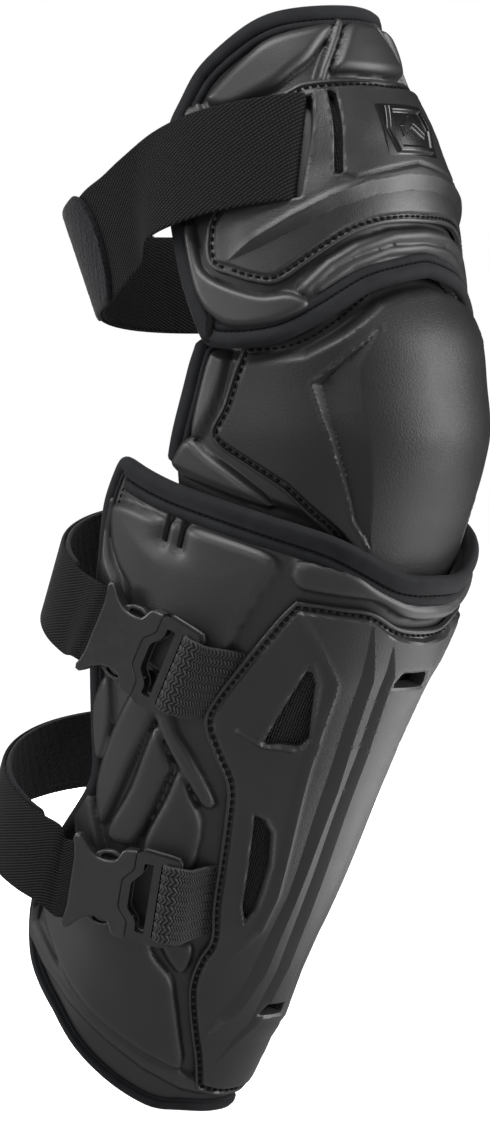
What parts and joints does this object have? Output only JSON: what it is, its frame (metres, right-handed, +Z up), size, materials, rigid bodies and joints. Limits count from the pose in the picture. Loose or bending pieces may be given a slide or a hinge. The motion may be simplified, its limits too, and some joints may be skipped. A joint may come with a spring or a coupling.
{
  "type": "knee and shin guard",
  "caption": "Articulated knee and shin guard: padded thigh, knee and shin sections with hard plates, a thigh strap with a fleece tab and buckled calf straps.",
  "frame": {"origin": "centre of the wearer's knee joint, on the leg's axis", "axes": "+X forward, +Y the wearer's left, +Z up; the part fits the right leg, bent about 30 degrees"},
  "size_m": [0.2507, 0.1912, 0.5272],
  "materials": {
    "foam": "moulded foam with a smooth matte skin",
    "plate": "matte moulded plate, fine grain",
    "binding": "soft knitted edge binding",
    "liner": "brushed knit lining",
    "insert": "soft impact-absorbing foam rubber",
    "mesh": "open mesh",
    "thread": "bonded thread",
    "emblem": "gloss",
    "elastic": "woven elastic",
    "fleece": "looped fleece",
    "webbing": "ribbed woven webbing",
    "buckle": "satin moulded plastic"
  },
  "bodies": {
    "shin": {"shin_pad": "foam", "shin_plate": "plate", "shin_binding": "binding", "shin_liner": "liner", "shin_insert": "insert", "upper_vent_mesh_right": "mesh", "upper_vent_mesh_left": "mesh", "lower_vent_mesh_right": "mesh", "lower_vent_mesh_left": "mesh", "lower_bar_tack_1_right": "thread", "lower_bar_tack_1_left": "thread", "lower_bar_tack_2_right": "thread", "lower_bar_tack_2_left": "thread", "upper_strap_anchor": "elastic", "lower_strap_anchor": "elastic", "upper_webbing": "webbing", "lower_webbing": "webbing", "upper_buckle_frame": "buckle", "lower_buckle_frame": "buckle"},
    "knee": {"knee_pad": "foam", "knee_cup": "plate", "knee_binding": "binding", "knee_liner": "liner", "knee_insert": "insert"},
    "thigh": {"thigh_pad": "foam", "thigh_plate": "plate", "thigh_binding": "binding", "thigh_liner": "liner", "thigh_badge": "emblem", "thigh_strap": "elastic", "thigh_strap_anchor": "elastic", "thigh_slot_mesh_right": "mesh", "thigh_slot_mesh_left": "mesh", "upper_bar_tack_right": "thread", "upper_bar_tack_left": "thread"},
    "thigh_far_strap": {"thigh_far_strap": "elastic", "thigh_strap_tab": "fleece"},
    "upper_calf_strap": {"upper_elastic": "elastic", "upper_fleece": "fleece", "upper_buckle_socket": "buckle"},
    "lower_calf_strap": {"lower_elastic": "elastic", "lower_fleece": "fleece", "lower_buckle_socket": "buckle"},
    "upper_prong_top": {"upper_prong_top": "buckle"},
    "upper_prong_bottom": {"upper_prong_bottom": "buckle"},
    "lower_prong_top": {"lower_prong_top": "buckle"},
    "lower_prong_bottom": {"lower_prong_bottom": "buckle"}
  },
  "joints": [
    {"name": "knee_flex", "type": "hinge", "parent": "shin", "child": "knee", "pos_m": [-0.009, 0, -0.046], "axis": [0, -1, 0], "range_deg": [0, 20]},
    {"name": "thigh_flex", "type": "hinge", "parent": "knee", "child": "thigh", "pos_m": [0.011, 0, 0.046], "axis": [0, -1, 0], "range_deg": [0, 20]},
    {"name": "thigh_strap_open", "type": "hinge", "parent": "thigh", "child": "thigh_far_strap", "pos_m": [-0.01424, 0.0933, 0.08075], "axis": [0.1736, 0, -0.9848], "range_deg": [0, 70]},
    {"name": "upper_strap_open", "type": "hinge", "parent": "shin", "child": "upper_calf_strap", "pos_m": [-0.04495, 0.08493, -0.07516], "axis": [-0.4485, -0.0241, -0.8934], "range_deg": [0, 60]},
    {"name": "lower_strap_open", "type": "hinge", "parent": "shin", "child": "lower_calf_strap", "pos_m": [-0.09709, 0.08039, -0.17195], "axis": [-0.234, 0.0474, -0.9711], "range_deg": [0, 60]},
    {"name": "upper_prong_top_squeeze", "type": "hinge", "parent": "shin", "child": "upper_prong_top", "pos_m": [-0.01222, -0.08596, -0.09492], "axis": [0.1914, -0.979, -0.0697], "range_deg": [0, 7], "stiffness_Nm_per_rad": 0.3},
    {"name": "upper_prong_bottom_squeeze", "type": "hinge", "parent": "shin", "child": "upper_prong_bottom", "pos_m": [-0.02276, -0.08652, -0.11592], "axis": [-0.1914, 0.979, 0.0697], "range_deg": [0, 7], "stiffness_Nm_per_rad": 0.3},
    {"name": "lower_prong_top_squeeze", "type": "hinge", "parent": "shin", "child": "lower_prong_top", "pos_m": [-0.0379, -0.071, -0.20695], "axis": [0.3653, -0.9213, -0.133], "range_deg": [0, 7], "stiffness_Nm_per_rad": 0.3},
    {"name": "lower_prong_bottom_squeeze", "type": "hinge", "parent": "shin", "child": "lower_prong_bottom", "pos_m": [-0.0434, -0.06989, -0.22977], "axis": [-0.3653, 0.9213, 0.133], "range_deg": [0, 7], "stiffness_Nm_per_rad": 0.3}
  ]
}
